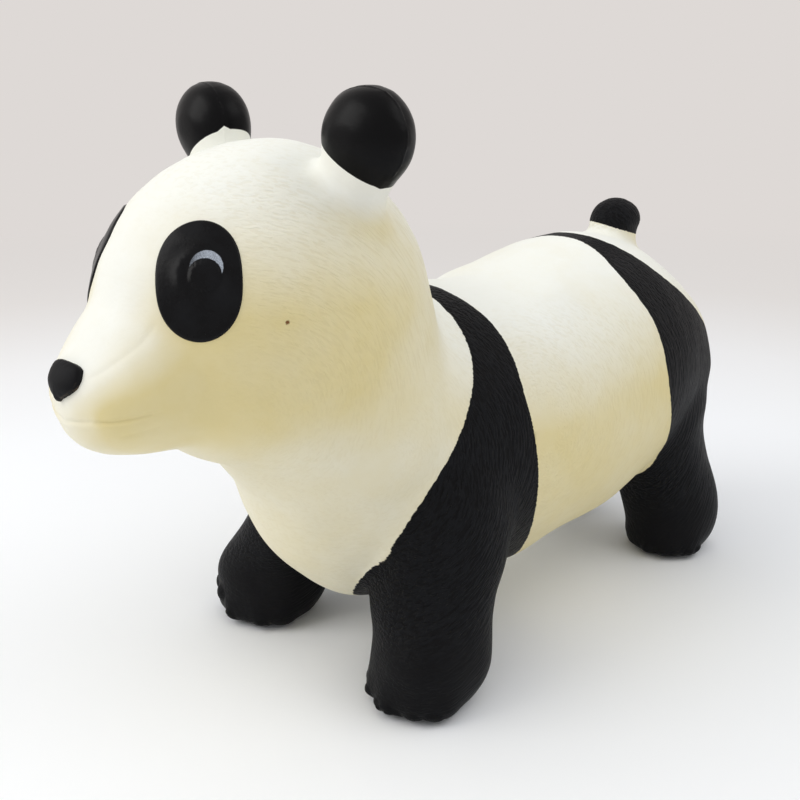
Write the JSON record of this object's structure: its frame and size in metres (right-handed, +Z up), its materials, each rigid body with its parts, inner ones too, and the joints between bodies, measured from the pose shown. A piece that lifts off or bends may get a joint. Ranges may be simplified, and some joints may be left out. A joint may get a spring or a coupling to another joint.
{
  "type": "ride-on hopper",
  "caption": "Inflatable moulded panda hopper that a small child sits on and bounces, with stout flexing legs, round grab ears, a ball tail and a plugged air valve in the belly.",
  "frame": {"origin": "on the floor, under the middle of the whole animal", "axes": "+Z up, -Y towards the nose, +X towards the animal's left side"},
  "size_m": [0.28, 0.6735, 0.4531],
  "materials": {
    "cream_pvc": "satin, fine moulded hair strokes",
    "black_pvc": "satin paint over moulded hair strokes",
    "gloss_black_pvc": "smooth, glossier paint",
    "plug_white": "smooth moulded"
  },
  "bodies": {
    "body": {"torso": "cream_pvc", "head": "cream_pvc", "nose": "gloss_black_pvc", "eye_patch_left": "gloss_black_pvc", "eye_patch_right": "gloss_black_pvc", "valve_collar": "cream_pvc"},
    "ear_left": {"ear_left": "gloss_black_pvc"},
    "ear_right": {"ear_right": "gloss_black_pvc"},
    "tail": {"tail": "black_pvc"},
    "leg_front_left": {"leg_front_left": "black_pvc"},
    "leg_front_right": {"leg_front_right": "black_pvc"},
    "leg_rear_left": {"leg_rear_left": "black_pvc"},
    "leg_rear_right": {"leg_rear_right": "black_pvc"},
    "valve_plug": {"valve_plug": "plug_white"}
  },
  "joints": [
    {"name": "ear_left_bend", "type": "hinge", "parent": "body", "child": "ear_left", "pos_m": [0.07527, -0.152, 0.38888], "axis": [1, 0, 0], "range_deg": [-18, 18], "stiffness_Nm_per_rad": 1.5},
    {"name": "ear_right_bend", "type": "hinge", "parent": "body", "child": "ear_right", "pos_m": [-0.07527, -0.152, 0.38888], "axis": [1, 0, 0], "range_deg": [-18, 18], "stiffness_Nm_per_rad": 1.5},
    {"name": "tail_bend", "type": "hinge", "parent": "body", "child": "tail", "pos_m": [0, 0.243, 0.3055], "axis": [1, 0, 0], "range_deg": [-18, 18], "stiffness_Nm_per_rad": 0.8},
    {"name": "leg_front_left_squash", "type": "slide", "parent": "body", "child": "leg_front_left", "axis": [0, 0, 1], "range_m": [0, 0.025], "stiffness_N_per_m": 4000, "deforming": ["leg_front_left"]},
    {"name": "leg_front_right_squash", "type": "slide", "parent": "body", "child": "leg_front_right", "axis": [0, 0, 1], "range_m": [0, 0.025], "stiffness_N_per_m": 4000, "deforming": ["leg_front_right"]},
    {"name": "leg_rear_left_squash", "type": "slide", "parent": "body", "child": "leg_rear_left", "axis": [0, 0, 1], "range_m": [0, 0.025], "stiffness_N_per_m": 4000, "deforming": ["leg_rear_left"]},
    {"name": "leg_rear_right_squash", "type": "slide", "parent": "body", "child": "leg_rear_right", "axis": [0, 0, 1], "range_m": [0, 0.025], "stiffness_N_per_m": 4000, "deforming": ["leg_rear_right"]},
    {"name": "valve_plug_pull", "type": "slide", "parent": "body", "child": "valve_plug", "axis": [0, 0, -1], "range_m": [0, 0.018]}
  ]
}
